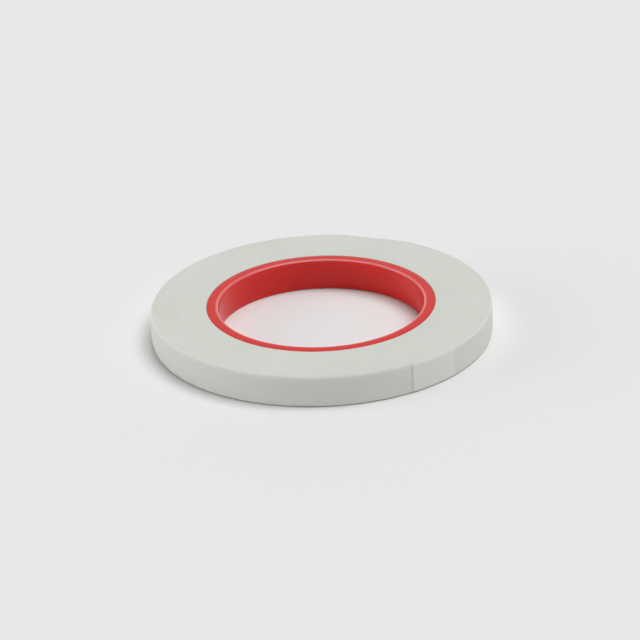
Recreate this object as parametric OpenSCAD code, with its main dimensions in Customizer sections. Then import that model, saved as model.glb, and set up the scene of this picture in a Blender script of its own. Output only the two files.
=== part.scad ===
// Roll of glass cloth tape on a moulded plastic core, lying flat.
// The bore's axis is Z, and the roll rests on Z = 0. Sizes are in millimetres.

/* [Core] */
// Diameter of the bore, a 3 inch tape core
core_bore_d = 76.2; // [70:0.1:80]
// Thickness of the core's wall, from the bore to the first turn of tape
core_wall = 4.2; // [3.5:0.1:6]
// Radius of the rounded edges of the bore
bore_round = 0.6; // [0.3:0.1:2]
// Radius of the small rounded edges where the core meets the tape
rim_round = 0.4; // [0.2:0.1:0.8]

/* [Tape] */
// Width of the tape, which is also the height of the roll
tape_w = 12; // [10:1:25]
// Length of tape wound on the core, in metres
tape_length_m = 33; // [20:1:66]
// Thickness of the woven glass cloth
cloth_t = 0.15; // [0.13:0.01:0.18]
// Thickness of the adhesive coat on the inner side of the cloth
adhesive_t = 0.06; // [0.05:0.01:0.08]

/* [Pressed flat] */
// Length of the flat that a soft roll takes where it has been pressed
flat_length = 24; // [4:1:30]
// Direction of the middle of the flat from the bore's axis, seen from above
flat_angle = 70; // [0:1:359]

/* [Loose end] */
// Direction of the tape's cut edge from the bore's axis, seen from above
end_angle = 300; // [0:0.5:359.5]
// Length of the loose end, from the fold where it is stuck down to its cut edge
tab_length = 20; // [14:1:30]
// Height that the cut edge has lifted off the turn below it
tab_lift = 0.1; // [0.05:0.05:0.5]
// Gap left at the fold, so that the loose end swings clear of the roll
fold_gap = 0.06; // [0.05:0.01:0.1]

/* [Hidden] */
$fn = 360;

mm_per_m = 1000;
deg_per_rad = 180 / PI;

bore_r = core_bore_d / 2;
core_r = bore_r + core_wall;
first_turn_r = core_r + adhesive_t;
tape_t = cloth_t + adhesive_t;
// The wound tape fills a ring whose area is its length times its thickness
roll_r = sqrt(core_r * core_r + tape_length_m * mm_per_m * tape_t / PI);
// Distance from the axis to the flat, a chord of the roll
flat_r = sqrt(roll_r * roll_r - flat_length * flat_length / 4);
// Size of a cutting shape that reaches past the whole roll
cut_size = 3 * roll_r;

// A turn is two half rounds, tangent where they meet, and it steps in by one thickness of tape.
// Their centres stand this far on either side of the axis, on the line of the cut edge.
turn_shift = tape_t / 4;
first_half_r = roll_r - turn_shift;
second_half_r = roll_r - 3 * turn_shift;

// The loose end is an arc that leaves the roll at the fold and is less curved than the roll
tab_angle = tab_length / first_half_r * deg_per_rad;
tab_r = 1 / (1 / first_half_r - 2 * tab_lift / (tab_length * tab_length));
tab_span = tab_length / tab_r * deg_per_rad;
fold_gap_angle = fold_gap / tab_r * deg_per_rad;

// Half of a disc, on the side of the cut edge's line that the sign gives
module half_round(r, shift, side) {
    intersection() {
        translate([shift, 0])
            circle(r);
        translate([-cut_size / 2, min(side, 0) * cut_size])
            square(cut_size);
    }
}

// Everything inside the roll's outline at a depth below its outer face, with its step and its flat
module wound_outline(depth) {
    intersection() {
        rotate(end_angle) {
            half_round(first_half_r - depth, turn_shift, 1);
            half_round(second_half_r - depth, -turn_shift, -1);
        }
        rotate(flat_angle)
            translate([flat_r - depth - cut_size, -cut_size / 2])
                square(cut_size);
    }
}

// Wedge between two directions, which cuts a stretch out of a ring
module wedge(from, to) {
    polygon([[0, 0], cut_size * [cos(from), sin(from)], cut_size * [cos(to), sin(to)]]);
}

// One layer of the last turn, from the fold round to the step, between two depths
module outer_turn_layer(outer, inner) {
    linear_extrude(tape_w)
        difference() {
            wound_outline(outer);
            wound_outline(inner);
            rotate(end_angle)
                translate([turn_shift, 0])
                    wedge(0, tab_angle);
        }
}

// One layer of the loose end, between two depths below its outer face
module end_tab_layer(outer, inner) {
    rotate(end_angle)
        translate([turn_shift, 0])
            rotate(tab_angle)
                translate([first_half_r - tab_r, 0])
                    linear_extrude(tape_w)
                        intersection() {
                            difference() {
                                circle(tab_r + fold_gap - outer);
                                circle(tab_r + fold_gap - inner);
                            }
                            wedge(-tab_span, -fold_gap_angle);
                        }
}

// Half-section of the core: a plain wall with rounded edges at the bore and at the tape
module core_section() {
    translate([bore_r + bore_round, 0])
        square([core_wall - bore_round - rim_round, tape_w]);
    translate([bore_r, bore_round])
        square([bore_round, tape_w - 2 * bore_round]);
    translate([core_r - rim_round, rim_round])
        square([rim_round, tape_w - 2 * rim_round]);
    for (z = [bore_round, tape_w - bore_round])
        translate([bore_r + bore_round, z])
            circle(bore_round);
    for (z = [rim_round, tape_w - rim_round])
        translate([core_r - rim_round, z])
            circle(rim_round);
}

// Moulded core that the tape is wound on
module core() {
    color("firebrick")
        rotate_extrude()
            core_section();
}

// Coat of adhesive that sticks the first turn to the core
module core_bond() {
    color("ivory")
        linear_extrude(tape_w)
            difference() {
                circle(first_turn_r);
                circle(core_r);
            }
}

// All the turns under the last one, pressed together, with the step where the last turn runs on to them
module wound_turns() {
    color("honeydew")
        linear_extrude(tape_w)
            difference() {
                wound_outline(tape_t);
                circle(first_turn_r);
            }
}

// Adhesive under the last turn
module outer_turn_adhesive() {
    color("ivory")
        outer_turn_layer(cloth_t, tape_t);
}

// Woven cloth of the last turn
module outer_turn_cloth() {
    color("honeydew")
        outer_turn_layer(0, cloth_t);
}

// Adhesive under the loose end
module end_tab_adhesive() {
    color("ivory")
        end_tab_layer(cloth_t, tape_t);
}

// Woven cloth of the loose end, which lifts off the roll at the fold
module end_tab_cloth() {
    color("honeydew")
        end_tab_layer(0, cloth_t);
}

core();
core_bond();
wound_turns();
outer_turn_adhesive();
outer_turn_cloth();
end_tab_adhesive();
end_tab_cloth();
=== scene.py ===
import math
import bpy
import numpy as np
from mathutils import Matrix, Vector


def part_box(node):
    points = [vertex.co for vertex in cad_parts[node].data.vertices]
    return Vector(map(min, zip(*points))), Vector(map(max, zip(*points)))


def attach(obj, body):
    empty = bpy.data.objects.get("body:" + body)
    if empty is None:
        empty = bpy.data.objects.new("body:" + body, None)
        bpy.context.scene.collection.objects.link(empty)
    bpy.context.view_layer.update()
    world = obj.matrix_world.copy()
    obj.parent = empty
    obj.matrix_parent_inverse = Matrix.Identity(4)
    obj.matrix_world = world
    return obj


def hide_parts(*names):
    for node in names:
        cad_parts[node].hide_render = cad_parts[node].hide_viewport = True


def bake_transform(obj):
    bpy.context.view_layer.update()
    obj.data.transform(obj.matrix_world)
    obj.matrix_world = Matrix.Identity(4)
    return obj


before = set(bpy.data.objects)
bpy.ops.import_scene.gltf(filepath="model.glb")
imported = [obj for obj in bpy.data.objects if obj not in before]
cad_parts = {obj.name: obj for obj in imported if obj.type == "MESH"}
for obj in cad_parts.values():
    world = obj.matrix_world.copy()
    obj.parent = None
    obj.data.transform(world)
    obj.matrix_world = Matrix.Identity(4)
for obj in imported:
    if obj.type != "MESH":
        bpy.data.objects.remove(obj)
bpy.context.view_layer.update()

# The tape as it is made and wound: metres, and degrees seen from above
tape = {
    "length": 33.0,          # on the whole roll
    "clothThick": 0.00015,
    "adhesiveThick": 0.00006,
    "cutAngle": 300.0,       # where the cut edge stands
    "tabLength": 0.020,      # loose end, from the cut edge to the fold
    "tabLift": 0.00003,      # how far the cut edge stands off the roll
    "flatLength": 0.024,     # place where the soft roll has been pressed flat
    "flatAngle": 70.0,
    "flatSoft": 0.00010,     # rounding of the flat's two corners
    "weftPitch": 0.00079,    # yarns across the tape, counted along it
    "warpPitch": 0.00058,    # yarns along the tape, counted across it
    "weaveRelief": 0.000016,
    "seed": 11,
}


# Least and greatest distance of a CAD node's points from the bore's axis
def nodeRadii(node):
    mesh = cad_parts[node].data
    co = np.empty(len(mesh.vertices) * 3)
    mesh.vertices.foreach_get("co", co)
    reach = np.hypot(co[0::3], co[1::3])
    return reach.min(), reach.max()


boreRadius, coreRadius = nodeRadii("core")
firstTurnRadius = nodeRadii("wound_turns")[0]
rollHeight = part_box("wound_turns")[1].z
tapeThick = tape["clothThick"] + tape["adhesiveThick"]
rollRadius = math.sqrt(coreRadius ** 2 + tape["length"] * tapeThick / math.pi)
cutAngle = math.radians(tape["cutAngle"])
tabAngle = tape["tabLength"] / rollRadius
turnLength = 2 * math.pi * rollRadius
turnCount = (rollRadius - coreRadius) / tapeThick
print("roll radius", round(rollRadius * 1000, 2), "mm, turns", round(turnCount, 1))


# Depth of the pressed flat at an angle: how far a chord lies inside the circle,
# fading softly to nothing outside it
def pressedDepth(theta):
    half = math.asin(tape["flatLength"] / 2 / rollRadius)
    off = np.mod(theta - math.radians(tape["flatAngle"]) + math.pi, 2 * math.pi) - math.pi
    inside = rollRadius * (1 - math.cos(half) / np.cos(np.clip(off, -1, 1)))
    return 0.5 * (inside + np.sqrt(inside ** 2 + tape["flatSoft"] ** 2))


# Softness of the roll's rims: near them the outer turns lean in, and their edges sit a little low
rim = {"crown": 0.00052, "crownReach": 0.0022, "low": 0.00036, "depthReach": 0.0008}


# How far the turns lean in at a height: a parabola that is full at the rim,
# fading with depth below the outer wall
def crownIn(z, depth):
    near = np.clip(1 - np.minimum(z, rollHeight - z) / rim["crownReach"], 0, 1)
    return rim["crown"] * near ** 2 * np.exp(-depth / rim["depthReach"])


# How low a turn's edge sits, fading with depth below the outer wall
def edgeLow(depth):
    return rim["low"] * np.exp(-depth / rim["depthReach"])


# Radius of the last turn at an angle on from the cut edge: it steps in by one thickness a turn
def lastTurnRadius(phi):
    return rollRadius - tapeThick * phi / (2 * math.pi) - pressedDepth(cutAngle + phi)


# The tape's outer face at a distance from its cut edge: places and outward directions in plan.
# Past the fold it is the spiral of the last turn; before it, a flatter arc tangent to that spiral.
def tapeLine(along):
    phi = along / rollRadius
    theta = cutAngle + phi
    radius = lastTurnRadius(phi)
    onRoll = np.stack([radius * np.cos(theta), radius * np.sin(theta)], -1)
    foldTheta = cutAngle + tabAngle
    foldRadius = lastTurnRadius(tabAngle)
    tabRadius = 1 / (1 / rollRadius - 2 * tape["tabLift"] / tape["tabLength"] ** 2)
    tabTheta = foldTheta - (tape["tabLength"] - along) / tabRadius
    centre = (foldRadius - tabRadius) * np.array([math.cos(foldTheta), math.sin(foldTheta)])
    onTab = centre + tabRadius * np.stack([np.cos(tabTheta), np.sin(tabTheta)], -1)
    loose = (along < tape["tabLength"])[..., None]
    facing = np.where(loose[..., 0], tabTheta, theta)
    return np.where(loose, onTab, onRoll), np.stack([np.cos(facing), np.sin(facing)], -1)


# Mesh object from points and faces; uv is one pair for each point
def makePiece(name, points, faces, uv=None):
    mesh = bpy.data.meshes.new(name)
    mesh.from_pydata(points.reshape(-1, 3).tolist(), [], faces)
    if uv is not None:
        corners = np.empty(len(mesh.loops), np.int32)
        mesh.loops.foreach_get("vertex_index", corners)
        layer = mesh.uv_layers.new(name="yarns")
        layer.data.foreach_set("uv", uv.reshape(-1, 2)[corners].astype(np.float32).ravel())
    mesh.update()
    piece = bpy.data.objects.new(name, mesh)
    bpy.context.scene.collection.objects.link(piece)
    return piece


# Quads of a grid of point numbers, closed round its rows or columns where asked
def gridQuads(grid, closeRows=False, closeColumns=False):
    if closeRows:
        grid = np.concatenate([grid, grid[:1]])
    if closeColumns:
        grid = np.concatenate([grid, grid[:, :1]], 1)
    return np.stack([grid[:-1, :-1], grid[1:, :-1], grid[1:, 1:], grid[:-1, 1:]], -1).reshape(-1, 4)


# Core: a ring with rounded edges
core = {
    "boreRound": 0.0006,
    "rimRound": 0.0004,
    "around": 288,
    "roundSteps": 10,
    "smoothUnder": 40.0,     # degrees between faces that still shade as one
}


# Distance from the axis and height of each point of the ring's section: a quarter round at each
# corner, its centre plus its size along a turning direction
def coreSection():
    quarter = np.linspace(0, math.pi / 2, core["roundSteps"])
    corners = [
        (boreRadius + core["boreRound"], core["boreRound"], core["boreRound"], math.pi),
        (coreRadius - core["rimRound"], core["rimRound"], core["rimRound"], 1.5 * math.pi),
        (coreRadius - core["rimRound"], rollHeight - core["rimRound"], core["rimRound"], 0),
        (boreRadius + core["boreRound"], rollHeight - core["boreRound"], core["boreRound"], 0.5 * math.pi),
    ]
    r, z, size, start = np.array(corners).T[:, :, None]
    turned = start + quarter
    return np.stack([r + size * np.cos(turned), z + size * np.sin(turned)], -1).reshape(-1, 2)


# The section carried round the axis
def makeCore():
    section = coreSection()
    around = np.linspace(0, 2 * math.pi, core["around"], endpoint=False)[:, None]
    r, z = section[None, :, 0], section[None, :, 1]
    points = np.stack(np.broadcast_arrays(r * np.cos(around), r * np.sin(around), z), -1)
    grid = np.arange(points.size // 3).reshape(points.shape[:2])
    quads = gridQuads(grid, closeRows=True, closeColumns=True)
    piece = makePiece("tapeCore", points, quads.tolist())
    piece.data.shade_smooth()
    piece.data.set_sharp_from_angle(angle=math.radians(core["smoothUnder"]))
    return piece


# Winding: the turns under the last one, whose edges are low ridges with a groove between
winding = {
    "stepsPerTurn": 200,
    "across": 2,
    "groove": 0.000016,      # depth of the line between two turns
    "wander": 0.000035,      # how far a turn stands above or below its neighbours
    "wanderTurns": 2.2,      # turns over which that changes slowly
    "quickRate": 3.7,        # how much faster a smaller part of it changes
    "quickShare": 0.3,
    "plainTurns": 1.2,       # turns on the core that are left smooth, to end the spiral on a round
    "wallRows": 14,
}


# Wander of the tape's edge along the spiral: random heights joined by smooth steps
def edgeWander(turns):
    rng = np.random.default_rng(tape["seed"])
    count = int(rollRadius / tapeThick / winding["wanderTurns"])
    slow = rng.uniform(-1, 1, count)
    quick = rng.uniform(-1, 1, math.ceil(winding["quickRate"]) * count)
    place = turns / winding["wanderTurns"]

    def smooth(values, x):
        k = np.clip(np.floor(x).astype(int), 0, len(values) - 2)
        f = np.clip(x - k, 0, 1)
        return values[k] + (values[k + 1] - values[k]) * f * f * (3 - 2 * f)

    quickPart = winding["quickShare"] * smooth(quick, winding["quickRate"] * place)
    return winding["wander"] * ((1 - winding["quickShare"]) * smooth(slow, place) + quickPart)


# One spiral on each face, a tape thickness nearer the axis each turn, and walls between the two faces.
# Points run along the spiral and across each turn, and a turn's inner edge is the next one's outer edge.
def makeWinding():
    steps, across = winding["stepsPerTurn"], winding["across"]
    bed = rollRadius - tapeThick
    turns = int((bed - firstTurnRadius) / tapeThick - winding["plainTurns"])
    last = turns * steps
    # the spiral's own points, then its innermost line, then a ring on the first turn's round
    n = np.repeat(np.arange(last + 1), across)
    j = np.tile(np.arange(across), last + 1)
    n = np.concatenate([n, np.arange(last + 1, last + steps + 1)])
    j = np.concatenate([j, np.zeros(steps, int)])
    turn = n / steps + j / across
    radius = bed - tapeThick * turn
    theta = cutAngle + 2 * math.pi * n / steps
    share = np.clip((radius - firstTurnRadius) / (bed - 2 * tapeThick - firstTurnRadius), 0, 1)
    depth = rollRadius - radius
    planRadius = radius - pressedDepth(theta) * share
    wander = edgeWander(n / steps)
    low = edgeLow(depth) + winding["wander"] + winding["groove"] * (j == 0)
    ringTheta = cutAngle + 2 * math.pi * np.arange(steps) / steps
    ringLow = np.full(steps, winding["wander"])
    theta = np.concatenate([theta, ringTheta])
    planRadius = np.concatenate([planRadius, np.full(steps, firstTurnRadius)])
    depth = np.concatenate([depth, np.full(steps, rollRadius - firstTurnRadius)])
    top = np.concatenate([rollHeight - low + wander, rollHeight - ringLow])
    under = np.concatenate([low + wander, ringLow])
    count = len(theta)

    # number of the point at a step along the spiral and a place across the turn
    def at(n, j):
        n = n + steps * (j == across)
        j = np.where(j == across, 0, j)
        return np.where(n <= last, n * across + j, (last + 1) * across + n - last - 1)

    a, b = np.meshgrid(np.arange(last), np.arange(across), indexing="ij")
    strip = np.stack([at(a, b), at(a + 1, b), at(a + 1, b + 1), at(a, b + 1)], -1).reshape(-1, 4)
    ring = count - steps + np.arange(steps)
    ringNext = np.roll(ring, -1)
    line = at(last + np.arange(steps + 1), np.zeros(steps + 1, int))
    fill = np.stack([line[1:-1], line[2:], ringNext[1:], ring[1:]], -1)
    stepLine = np.arange(across - 1, 0, -1)
    seam = np.concatenate([line[:2], ring[1::-1], line[-1:], at(np.full(across - 1, last), stepLine)])
    face = np.concatenate([strip, fill])
    bore = gridQuads(np.stack([ring, ring + count]), closeColumns=True)[:, ::-1]
    # the outer wall, round the last full turn and its step, in rows that lean in towards the rims
    firstLine = at(np.arange(steps + 1), np.zeros(steps + 1, int))
    edge = np.concatenate([firstLine, at(np.zeros(across - 1, int), stepLine)])
    share = 0.5 - 0.5 * np.cos(math.pi * np.arange(1, winding["wallRows"]) / winding["wallRows"])
    wallZ = under[edge] + (top - under)[edge] * share[:, None]
    wallRows = 2 * count + np.arange(wallZ.size).reshape(wallZ.shape)
    wall = gridQuads(np.concatenate([[edge + count], wallRows, [edge]]), closeColumns=True)[:, ::-1]
    z = np.concatenate([top, under, wallZ.ravel()])
    theta = np.concatenate([np.tile(theta, 2), np.tile(theta[edge], len(share))])
    depth = np.concatenate([np.tile(depth, 2), np.tile(depth[edge], len(share))])
    planRadius = np.concatenate([np.tile(planRadius, 2), np.tile(planRadius[edge], len(share))])
    planRadius = planRadius - crownIn(z, depth)
    points = np.stack([planRadius * np.cos(theta), planRadius * np.sin(theta), z], -1)
    along = np.mod(theta - cutAngle, 2 * math.pi) * rollRadius
    uv = np.stack([along / tape["weftPitch"], z / tape["warpPitch"]], -1)
    faces = face.tolist() + [seam.tolist()]
    faces += (face[:, ::-1] + count).tolist() + [(seam[::-1] + count).tolist()]
    wallFrom = len(faces)
    faces += wall.tolist() + bore.tolist()
    piece = makePiece("woundTurns", points, faces, uv)
    mesh = piece.data
    mesh.shade_smooth()
    # the grooves and the step's corners, where both ends lie on the first column, and the rims of the walls
    # break the shading
    ends = np.empty(len(mesh.edges) * 2, np.int32)
    mesh.edges.foreach_get("vertices", ends)
    ends = ends.reshape(-1, 2)
    column = np.tile(np.concatenate([j, np.full(steps, across)]), 2)
    wallColumn = np.full(wallZ.shape, -1)
    wallColumn[:, [0, steps]] = 0
    column = np.concatenate([column, wallColumn.ravel()])
    sharp = (column[ends] == 0).all(1) | (column[ends] == across).all(1)
    mesh.attributes.new("sharp_edge", "BOOLEAN", "EDGE").data.foreach_set("value", sharp)
    # the wall takes the piece's second material
    onWall = np.zeros(len(mesh.polygons), np.int32)
    onWall[wallFrom:wallFrom + len(wall)] = 1
    mesh.polygons.foreach_set("material_index", onWall)
    return piece


# Strips: the last turn and the loose end, each of cloth and of adhesive
strips = {
    "rowsPerYarn": 2,
    "edgeSteps": 3,
    "backColumns": 15,
    "coatRows": 240,         # along the last turn's adhesive, which has no weave
    "coatColumns": 15,
    "cutJag": 0.00003,       # how unevenly the yarns end at the cut
    "cutPoints": 30,
    "cutFade": 0.0012,
    "foldBend": 0.004,       # how far from the fold the loose end bends as it is peeled
}


# Height of the weave at a place counted in yarns: highest where two yarns cross,
# lowest in the gap between four
def weaveRelief(weft, warp):
    waves = np.cos(2 * math.pi * weft) + np.cos(2 * math.pi * warp)
    return tape["weaveRelief"] * (0.25 * waves - 0.5)


# Strip of tape between two distances from the cut edge and two depths below its outer face.
# Each row is a closed section: the outer face, the upper edge, the inner face and the lower edge.
# A point is its place on the tape's line, moved out by the weave and in by its depth and the rim's lean.
def makeStrip(name, start, end, outer, inner, rows, columns, woven):
    along = np.linspace(start, end, rows)
    depths = np.linspace(outer, inner, strips["edgeSteps"])[1:]
    face = np.linspace(edgeLow(outer), rollHeight - edgeLow(outer), columns)
    back = np.linspace(rollHeight - edgeLow(inner), edgeLow(inner), strips["backColumns"])
    upper, lower = depths[:-1], depths[-2::-1]
    depth = np.concatenate([np.full(columns, outer), upper, np.full(len(back), inner), lower])
    z = np.concatenate([face, rollHeight - edgeLow(upper), back, edgeLow(lower)])
    # the cut edge isn't quite straight: the yarns end a little short or long
    rng = np.random.default_rng(tape["seed"] + 1)
    heights = np.linspace(0, rollHeight, strips["cutPoints"])
    jag = strips["cutJag"] * np.interp(z, heights, rng.uniform(-1, 1, strips["cutPoints"]))
    fade = np.clip(1 - along / strips["cutFade"], 0, 1)
    place = along[:, None] + fade[:, None] * (jag + strips["cutJag"])[None, :]
    plan, facing = tapeLine(place)
    out = -np.broadcast_to(depth + crownIn(z, depth), place.shape).copy()
    yarns = np.stack(np.broadcast_arrays(place / tape["weftPitch"], z[None, :] / tape["warpPitch"]), -1)
    if woven:
        out[:, :columns] += weaveRelief(yarns[:, :columns, 0], yarns[:, :columns, 1])
    plan = plan + facing * out[..., None]
    points = np.stack(np.broadcast_arrays(plan[..., 0], plan[..., 1], z[None, :]), -1)
    grid = np.arange(place.size).reshape(place.shape)
    quads = gridQuads(grid, closeColumns=True)
    return makePiece(name, points, quads.tolist() + [grid[0].tolist(), grid[-1, ::-1].tolist()], yarns)


# Shader helpers: nodes by kind, with inputs that are sockets to join or plain values
def addNode(tree, kind, inputs=None, **settings):
    node = tree.nodes.new(kind)
    for key, value in settings.items():
        setattr(node, key, value)
    for key, value in (inputs or {}).items():
        if isinstance(value, bpy.types.NodeSocket):
            tree.links.new(value, node.inputs[key])
        else:
            node.inputs[key].default_value = value
    return node


def math2(tree, operation, a, b=0.0, clamp=False):
    return addNode(tree, "ShaderNodeMath", {0: a, 1: b}, operation=operation, use_clamp=clamp).outputs[0]


def mixColour(tree, factor, a, b):
    return addNode(tree, "ShaderNodeMix", {0: factor, 6: a, 7: b}, data_type="RGBA").outputs[2]


def newGroup(name, inputs, outputs):
    tree = bpy.data.node_groups.new(name, "ShaderNodeTree")
    for label, kind in inputs:
        tree.interface.new_socket(label, in_out="INPUT", socket_type=kind)
    for label in outputs:
        tree.interface.new_socket(label, in_out="OUTPUT", socket_type="NodeSocketFloat")
    return tree, tree.nodes.new("NodeGroupInput").outputs, tree.nodes.new("NodeGroupOutput").inputs


def placeGroup(tree, group, inputs):
    return addNode(tree, "ShaderNodeGroup", inputs, node_tree=group).outputs


def newMaterial(name):
    material = bpy.data.materials.new(name)
    material.use_nodes = True
    tree = material.node_tree
    return material, tree, tree.nodes["Principled BSDF"]


# Joins a colour, a mask that roughens and a relief to the shader, with the finish's own values
def linkFinish(tree, shader, finish, base, uneven, relief):
    tree.links.new(base, shader.inputs["Base Color"])
    rise = math2(tree, "MULTIPLY", uneven, finish["roughnessRise"])
    tree.links.new(math2(tree, "ADD", finish["roughness"], rise), shader.inputs["Roughness"])
    bump = {"Height": relief, "Strength": finish["bump"], "Distance": finish["bumpDepth"]}
    tree.links.new(addNode(tree, "ShaderNodeBump", bump).outputs[0], shader.inputs["Normal"])
    shader.inputs["Specular IOR Level"].default_value = finish["specular"]


# Colours are written as they look, 0 to 255, and turned to Blender's linear values
def colour(r, g, b):
    def linear(c):
        c = c / 255
        return c / 12.92 if c <= 0.04045 else ((c + 0.055) / 1.055) ** 2.4
    return (linear(r), linear(g), linear(b), 1.0)


weave = {
    "dip": 0.45,             # how far a yarn goes down before it passes under the next one
    "fullness": 0.5,         # less makes its top flatter
    "filamentLong": 1.5,     # waves of the filaments to a yarn's width, along the yarn
    "filamentAcross": 11.0,  # and across it
    "apart": 0.37,           # sets the tones of lengthwise yarns apart from the crosswise ones
}


# Plain weave, from a place counted in yarns: how high the top yarn stands, a tone for each yarn,
# and the filaments in it. A yarn is a low round across, and dips at both ends of its crossing.
def makeWeaveGroup():
    tree, ins, outs = newGroup("plainWeave", [("Yarns", "NodeSocketVector")], ["Height", "Tone", "Fibre"])
    split = addNode(tree, "ShaderNodeSeparateXYZ", {0: ins["Yarns"]}).outputs

    # the number of the yarn, and the square of the distance from its middle, 1 at its sides
    def yarnPlace(count):
        shifted = math2(tree, "ADD", count, 0.5)
        number = math2(tree, "FLOOR", shifted)
        off = math2(tree, "SUBTRACT", math2(tree, "SUBTRACT", shifted, number), 0.5)
        return number, math2(tree, "MULTIPLY", math2(tree, "MULTIPLY", off, off), 4)

    numberX, squareX = yarnPlace(split[0])
    numberY, squareY = yarnPlace(split[1])
    # at every other crossing the lengthwise yarn is on top
    lengthwise = math2(tree, "FLOORED_MODULO", math2(tree, "ADD", numberX, numberY), 2)
    crosswise = math2(tree, "SUBTRACT", 1, lengthwise)

    def crown(across, alongIt):
        left = math2(tree, "MAXIMUM", math2(tree, "SUBTRACT", 1, across), 0)
        dip = math2(tree, "SUBTRACT", 1, math2(tree, "MULTIPLY", alongIt, weave["dip"]))
        return math2(tree, "MULTIPLY", math2(tree, "POWER", left, weave["fullness"]), dip)

    def yarnTone(number):
        return addNode(tree, "ShaderNodeTexWhiteNoise", {"W": number}, noise_dimensions="1D").outputs[0]

    def filaments(stretch):
        along = addNode(tree, "ShaderNodeVectorMath", {0: ins["Yarns"], 1: stretch}, operation="MULTIPLY")
        noise = {"Vector": along.outputs[0], "Scale": 1.0, "Detail": 1.0}
        return addNode(tree, "ShaderNodeTexNoise", noise).outputs[0]

    long, across = weave["filamentLong"], weave["filamentAcross"]
    ofLengthwise = {
        "Height": crown(squareY, squareX),
        "Tone": yarnTone(math2(tree, "ADD", numberY, weave["apart"])),
        "Fibre": filaments((long, across, 1)),
    }
    ofCrosswise = {
        "Height": crown(squareX, squareY),
        "Tone": yarnTone(numberX),
        "Fibre": filaments((across, long, 1)),
    }
    for label in ofLengthwise:
        shown = math2(tree, "MULTIPLY", ofLengthwise[label], lengthwise)
        other = math2(tree, "MULTIPLY", ofCrosswise[label], crosswise)
        tree.links.new(math2(tree, "ADD", shown, other), outs[label])
    return tree


# Soft uneven tone, from large clouds and small specks, 0.5 on average
def makeMottleGroup():
    scales = [("Cloud Scale", "NodeSocketFloat"), ("Speck Scale", "NodeSocketFloat")]
    tree, ins, outs = newGroup("softMottle", [("Vector", "NodeSocketVector")] + scales, ["Cloud", "Speck"])
    for label, detail in (("Cloud", 3.0), ("Speck", 2.0)):
        noise = {"Vector": ins["Vector"], "Scale": ins[label + " Scale"], "Detail": detail}
        tree.links.new(addNode(tree, "ShaderNodeTexNoise", noise).outputs[0], outs[label])
    return tree


# Where a point is on the roll: its distance from the bore's axis, its direction as a share of a turn,
# and its depth below the nearer flat face
def makeRollPlaceGroup():
    labels = ["Radius", "Direction", "Depth"]
    tree, ins, outs = newGroup("rollPlace", [("Vector", "NodeSocketVector")], labels)
    split = addNode(tree, "ShaderNodeSeparateXYZ", {0: ins["Vector"]}).outputs
    plan = addNode(tree, "ShaderNodeCombineXYZ", {0: split[0], 1: split[1]}).outputs[0]
    radius = addNode(tree, "ShaderNodeVectorMath", {0: plan}, operation="LENGTH").outputs["Value"]
    tree.links.new(radius, outs["Radius"])
    turned = math2(tree, "ARCTAN2", split[1], split[0])
    tree.links.new(math2(tree, "DIVIDE", turned, 2 * math.pi), outs["Direction"])
    fromMiddle = math2(tree, "ABSOLUTE", math2(tree, "SUBTRACT", split[2], rollHeight / 2))
    tree.links.new(math2(tree, "SUBTRACT", rollHeight / 2, fromMiddle), outs["Depth"])
    return tree


weaveGroup = makeWeaveGroup()
mottleGroup = makeMottleGroup()
rollPlaceGroup = makeRollPlaceGroup()


def objectPlace(tree):
    return addNode(tree, "ShaderNodeTexCoord").outputs["Object"]


# Clouds, and specks where the finish has them
def addMottle(tree, finish):
    inputs = {"Vector": objectPlace(tree), "Cloud Scale": finish["cloudScale"]}
    if "speckScale" in finish:
        inputs["Speck Scale"] = finish["speckScale"]
    return placeGroup(tree, mottleGroup, inputs)


def addRollPlace(tree):
    return placeGroup(tree, rollPlaceGroup, {"Vector": objectPlace(tree)})


def addWeave(tree):
    yarns = addNode(tree, "ShaderNodeUVMap", uv_map="yarns").outputs[0]
    return placeGroup(tree, weaveGroup, {"Yarns": yarns})


# 1 at nothing, falling to 0 at a reach
def fadeOut(tree, distance, reach):
    return math2(tree, "SUBTRACT", 1, math2(tree, "DIVIDE", distance, reach, clamp=True))


cloth = {
    "yarn": colour(215, 216, 209),
    "gap": colour(201, 202, 194),
    "cloudy": colour(205, 207, 200),
    "yarnShare": 0.35,       # how much the yarns differ
    "cloudFrom": 0.35,
    "cloudShare": 0.7,
    "cloudScale": 55.0,
    # painted glow: the tape is paler near both faces, standing in for light that comes through its cut
    # edges
    "edge": colour(226, 228, 222),
    "glowReach": 0.0022,     # how far in from its edges the tape is paler
    "roughness": 0.48,
    "roughnessRise": 0.22,
    "filamentRelief": 0.5,
    "bump": 0.22,
    "bumpDepth": 0.00003,
    "specular": 0.4,
}
# The loose end, with air behind it, looks whiter
looseEnd = dict(cloth, yarn=colour(220, 222, 217), gap=colour(207, 209, 204), cloudy=colour(211, 213, 209))


# Woven glass: pale yarns with darker gaps, soft clouds, and a painted glow, paler near both cut edges, that
# stands in for light coming through them
def makeClothMaterial(name, finish):
    material, tree, shader = newMaterial(name)
    place, mottle, weaving = addRollPlace(tree), addMottle(tree, finish), addWeave(tree)
    base = mixColour(tree, weaving["Height"], finish["gap"], finish["yarn"])
    tone = math2(tree, "MULTIPLY", weaving["Tone"], finish["yarnShare"])
    base = mixColour(tree, tone, base, finish["cloudy"])
    cloud = math2(tree, "SUBTRACT", mottle["Cloud"], finish["cloudFrom"])
    cloud = math2(tree, "MULTIPLY", cloud, finish["cloudShare"], clamp=True)
    base = mixColour(tree, cloud, base, finish["cloudy"])
    # painted glow near both faces of the tape, standing in for light through the cut edges
    paintedGlow = math2(tree, "POWER", fadeOut(tree, place["Depth"], finish["glowReach"]), 2)
    base = mixColour(tree, paintedGlow, base, finish["edge"])
    filaments = math2(tree, "MULTIPLY", weaving["Fibre"], finish["filamentRelief"])
    relief = math2(tree, "ADD", weaving["Height"], filaments)
    linkFinish(tree, shader, finish, base, weaving["Fibre"], relief)
    return material


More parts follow.
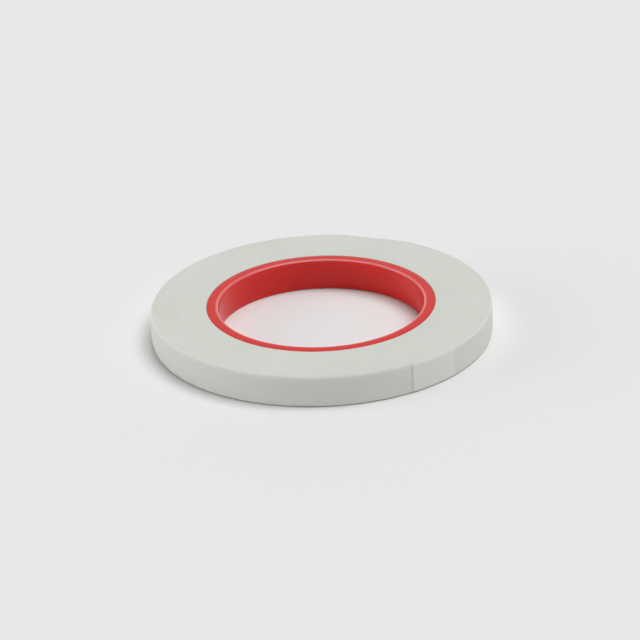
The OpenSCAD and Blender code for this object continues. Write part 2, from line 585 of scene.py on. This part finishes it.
edges = {
    "pale": colour(214, 217, 209),
    "dull": colour(200, 204, 195),
    "turnShare": 0.24,       # how much one turn differs from the next
    "bandShare": 0.48,       # how much bands of turns differ
    "bandScale": 0.22,       # bands to a turn
    "cloudShare": 0.9,
    "cloudScale": 45.0,
    "speckScale": 1400.0,
    "line": colour(196, 199, 189),
    "lineFrom": 0.34,        # where the darker line between turns starts, from a turn's middle
    "lineGain": 3.0,
    "roughness": 0.5,
    "roughnessRise": 0.25,
    "bump": 0.3,
    "bumpDepth": 0.00002,
    "specular": 0.4,
}


# The roll's faces: the cut edges of the turns, each with its own tone, and bands of several turns.
# A turn's number is the depth below the last turn counted in tape thicknesses, less the share of a
# turn since the cut.
def makeEdgeMaterial():
    material, tree, shader = newMaterial("woundEdges")
    place, mottle = addRollPlace(tree), addMottle(tree, edges)
    sinceCut = math2(tree, "SUBTRACT", place["Direction"], cutAngle / (2 * math.pi))
    sinceCut = math2(tree, "FRACT", sinceCut)
    deep = math2(tree, "SUBTRACT", rollRadius - tapeThick, place["Radius"])
    deep = math2(tree, "DIVIDE", deep, tapeThick)
    spiral = math2(tree, "SUBTRACT", deep, sinceCut)
    number = math2(tree, "FLOOR", spiral)
    tone = addNode(tree, "ShaderNodeTexWhiteNoise", {"W": number}, noise_dimensions="1D").outputs[0]
    bands = {"W": math2(tree, "ADD", spiral, sinceCut), "Scale": edges["bandScale"], "Detail": 2.0}
    band = addNode(tree, "ShaderNodeTexNoise", bands, noise_dimensions="1D").outputs[0]
    dull = math2(tree, "MULTIPLY", tone, edges["turnShare"])
    dull = math2(tree, "ADD", dull, math2(tree, "MULTIPLY", band, edges["bandShare"]))
    cloud = math2(tree, "MULTIPLY", math2(tree, "SUBTRACT", mottle["Cloud"], 0.5), edges["cloudShare"])
    dull = math2(tree, "ADD", dull, cloud, clamp=True)
    base = mixColour(tree, dull, edges["pale"], edges["dull"])
    fromMiddle = math2(tree, "ABSOLUTE", math2(tree, "SUBTRACT", math2(tree, "FRACT", spiral), 0.5))
    line = math2(tree, "SUBTRACT", fromMiddle, edges["lineFrom"])
    line = math2(tree, "MULTIPLY", line, edges["lineGain"], clamp=True)
    base = mixColour(tree, line, base, edges["line"])
    linkFinish(tree, shader, edges, base, mottle["Speck"], mottle["Speck"])
    return material


plastic = {
    "red": colour(226, 28, 13),
    "deep": colour(214, 23, 10),
    "cloudScale": 30.0,
    "scuff": colour(222, 74, 66),
    "scuffFrom": 0.62,       # only the highest specks are scuffed
    "scuffGain": 1.2,
    "speckScale": 520.0,
    # painted shade: the flat ends take a darker red than the bore's wall, whose brighter red stands in for
    # the light falling on it
    "ends": colour(206, 24, 13),
    "endsReach": 0.0003,     # the flat ends are painted darker than the bore
    "endsShare": 0.8,
    # painted highlight: a pale pink line round each end of the bore, standing in for the highlight on its
    # rounded edge
    "paintedHighlight": colour(230, 128, 130),
    "highlightAcross": 0.0011,  # the paler line round each end of the bore, on its rim
    "highlightDown": 0.0006,    # and inside it
    "highlightLeast": 0.55,
    "highlightRise": 0.7,
    "roughness": 0.14,
    "roughnessRise": 0.12,
    "bump": 0.06,
    "bumpDepth": 0.00004,
    "specular": 0.38,
}


# Moulded red plastic: slow drifts of tone, fine orange peel and paler rubbed specks; flat ends painted
# darker than the bore's wall, whose brighter red stands in for the light on it;
# and a painted highlight round the edges of the bore, a pale line fading with the cube of the distance
# across the rim and with the square of the depth inside the bore
def makePlasticMaterial():
    material, tree, shader = newMaterial("redPlastic")
    place, mottle = addRollPlace(tree), addMottle(tree, plastic)
    base = mixColour(tree, mottle["Cloud"], plastic["deep"], plastic["red"])
    specks = math2(tree, "SUBTRACT", mottle["Speck"], plastic["scuffFrom"])
    specks = math2(tree, "MULTIPLY", specks, plastic["scuffGain"], clamp=True)
    base = mixColour(tree, specks, base, plastic["scuff"])
    # painted shade on the flat ends, darker than the bore's wall
    ends = fadeOut(tree, place["Depth"], plastic["endsReach"])
    base = mixColour(tree, math2(tree, "MULTIPLY", ends, plastic["endsShare"]), base, plastic["ends"])
    # painted highlight along the bore's rounded edges, fading across the rim and down the bore
    across = math2(tree, "SUBTRACT", place["Radius"], boreRadius)
    across = math2(tree, "DIVIDE", across, plastic["highlightAcross"], clamp=True)
    down = math2(tree, "DIVIDE", place["Depth"], plastic["highlightDown"], clamp=True)
    paintedHighlight = math2(tree, "SUBTRACT", 1, math2(tree, "POWER", across, 3))
    paintedHighlight = math2(tree, "MULTIPLY", paintedHighlight, math2(tree, "SUBTRACT", 1, math2(tree, "POWER", down, 2)))
    uneven = math2(tree, "MULTIPLY", mottle["Cloud"], plastic["highlightRise"])
    uneven = math2(tree, "ADD", plastic["highlightLeast"], uneven, clamp=True)
    base = mixColour(tree, math2(tree, "MULTIPLY", paintedHighlight, uneven), base, plastic["paintedHighlight"])
    linkFinish(tree, shader, plastic, base, mottle["Cloud"], mottle["Speck"])
    return material


adhesive = {
    "clear": colour(219, 217, 204),
    "thick": colour(207, 203, 186),
    "cloudScale": 160.0,
    "roughness": 0.14,
    "roughnessRise": 0.2,
    "bump": 0.3,
    "bumpDepth": 0.00003,
    "specular": 0.5,
}


# Tacky coat: uneven, glossy, with the cloth's yarns showing through as a shallow quilt
def makeAdhesiveMaterial():
    material, tree, shader = newMaterial("tackyCoat")
    mottle, weaving = addMottle(tree, adhesive), addWeave(tree)
    quilt = math2(tree, "ADD", weaving["Height"], mottle["Cloud"])
    base = mixColour(tree, math2(tree, "MULTIPLY", quilt, 0.5), adhesive["thick"], adhesive["clear"])
    linkFinish(tree, shader, adhesive, base, mottle["Cloud"], quilt)
    return material


clothMaterial = makeClothMaterial("glassCloth", cloth)
looseMaterial = makeClothMaterial("looseCloth", looseEnd)
edgeMaterial = makeEdgeMaterial()
plasticMaterial = makePlasticMaterial()
adhesiveMaterial = makeAdhesiveMaterial()
print("materials made")

corePiece = makeCore()
corePiece.data.materials.append(plasticMaterial)
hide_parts("core")
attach(corePiece, "roll")
print("core made", len(corePiece.data.polygons), "faces")

windingPiece = makeWinding()
windingPiece.data.materials.append(edgeMaterial)
windingPiece.data.materials.append(clothMaterial)
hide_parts("wound_turns", "core_bond")
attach(windingPiece, "roll")
print("winding made", len(windingPiece.data.polygons), "faces")

fold = tape["tabLength"]
lapLength = turnLength - fold
rowsPerYarn = strips["rowsPerYarn"]
lapRows = int(lapLength / tape["weftPitch"] * rowsPerYarn) + 1
tabRows = int(fold / tape["weftPitch"] * rowsPerYarn) + 1
columns = int(rollHeight / tape["warpPitch"]) * rowsPerYarn + 1
coatRows, coatColumns = strips["coatRows"], strips["coatColumns"]
back = tape["clothThick"]

lapCloth = makeStrip("outerTurnCloth", fold, turnLength, 0, back, lapRows, columns, True)
lapCoat = makeStrip("outerTurnAdhesive", fold, turnLength, back, tapeThick, coatRows, coatColumns, False)
tabCloth = makeStrip("endTabCloth", 0, fold, 0, back, tabRows, columns, True)
tabCoat = makeStrip("endTabAdhesive", 0, fold, back, tapeThick, tabRows, coatColumns, False)
for piece, node, slot, material in (
    (lapCloth, "outer_turn_cloth", "glass_cloth", clothMaterial),
    (lapCoat, "outer_turn_adhesive", "adhesive", adhesiveMaterial),
    (tabCloth, "end_tab_cloth", "glass_cloth", looseMaterial),
    (tabCoat, "end_tab_adhesive", "adhesive", adhesiveMaterial),
):
    piece.data.materials.append(material)
    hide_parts(node)
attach(lapCloth, "roll")
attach(lapCoat, "roll")

# The loose end's pieces stay out of the roll's body, with their placement written into their points
for piece in (tabCloth, tabCoat):
    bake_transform(piece)
print("tape strips made", len(lapCloth.data.polygons), "faces on the last turn")

stage = {
    "floorSize": 6.0,
    "floor": colour(232, 232, 232),
    "roughness": 0.8,
    "specular": 0.1,
    "ceiling": 0.02,         # brightness of the pale room above
    "horizon": 3.6,          # and how much brighter it is at the horizon
    "fade": 10.0,            # how fast that darkens towards the ceiling
}
# Broad soft lamps: height and bearing in degrees, light on a surface that faces it, and how wide it looks
lamps = {
    "keyLamp": {"height": 70, "bearing": 0, "strength": 1.91, "width": 40},
    "overLamp": {"height": 80, "bearing": 90, "strength": 0.44, "width": 56},
    "rightLamp": {"height": 35, "bearing": 0, "strength": 0.20, "width": 40},
    "leftLamp": {"height": 14, "bearing": 180, "strength": 1.12, "width": 40},
    "backLamp": {"height": 58, "bearing": 90, "strength": 0.12, "width": 8},
    "wallLamp": {"height": 25, "bearing": 90, "strength": 0.42, "width": 60},
}


def makeFloor():
    half = stage["floorSize"] / 2
    points = np.array([[-half, -half, 0], [half, -half, 0], [half, half, 0], [-half, half, 0]])
    floor = makePiece("floor", points, [[0, 1, 2, 3]])
    material, tree, shader = newMaterial("paleFloor")
    shader.inputs["Base Color"].default_value = stage["floor"]
    shader.inputs["Roughness"].default_value = stage["roughness"]
    shader.inputs["Specular IOR Level"].default_value = stage["specular"]
    floor.data.materials.append(material)


def makeLights():
    world = bpy.data.worlds.new("softRoom")
    bpy.context.scene.world = world
    world.use_nodes = True
    tree = world.node_tree
    view = addNode(tree, "ShaderNodeTexCoord").outputs["Generated"]
    up = math2(tree, "ABSOLUTE", addNode(tree, "ShaderNodeSeparateXYZ", {0: view}).outputs[2])
    level = math2(tree, "POWER", math2(tree, "SUBTRACT", 1, up), stage["fade"])
    tree.nodes["Background"].inputs["Color"].default_value = (1, 1, 1, 1)
    level = math2(tree, "ADD", stage["ceiling"], math2(tree, "MULTIPLY", level, stage["horizon"]))
    tree.links.new(level, tree.nodes["Background"].inputs["Strength"])
    for name, lamp in lamps.items():
        light = bpy.data.lights.new(name, "SUN")
        light.energy = lamp["strength"]
        light.angle = math.radians(lamp["width"])
        lean = Matrix.Rotation(math.radians(90 - lamp["height"]), 4, "Y")
        source = bpy.data.objects.new(name, light)
        source.matrix_world = Matrix.Rotation(math.radians(lamp["bearing"]), 4, "Z") @ lean
        bpy.context.scene.collection.objects.link(source)


# Camera: a long lens above the front of the roll, tilted a little, found by matching
# the rims of the bore and the roll
camera = {
    "elevation": 25.19,
    "roll": 2.32,
    "pan": -0.029,
    "tilt": -0.202,
    "distance": 1.206,
    "lens": 183.06,
    "sensor": 36.0,
    "nearest": 0.01,
}


def makeCamera():
    elevation, rollBy = math.radians(camera["elevation"]), math.radians(camera["roll"])
    pan, tilt = math.radians(camera["pan"]), math.radians(camera["tilt"])
    back = np.array([0, -math.cos(elevation), math.sin(elevation)])
    level = np.stack([[1, 0, 0], np.cross(back, [1, 0, 0]), back])
    tilted = np.array(Matrix.Rotation(tilt, 3, "X")) @ level
    panned = np.array(Matrix.Rotation(pan, 3, "Y")) @ tilted
    turned = np.array(Matrix.Rotation(rollBy, 3, "Z")) @ panned
    lens = bpy.data.cameras.new("camera")
    lens.lens = camera["lens"]
    lens.sensor_width = camera["sensor"]
    lens.clip_start = camera["nearest"]
    view = bpy.data.objects.new("camera", lens)
    place = Matrix(turned.T.tolist()).to_4x4()
    place.translation = (back * camera["distance"]).tolist()
    view.matrix_world = place
    bpy.context.scene.collection.objects.link(view)
    bpy.context.scene.camera = view


makeFloor()
makeLights()
makeCamera()
bpy.context.scene.view_settings.view_transform = "Standard"
print("floor, light and camera set")
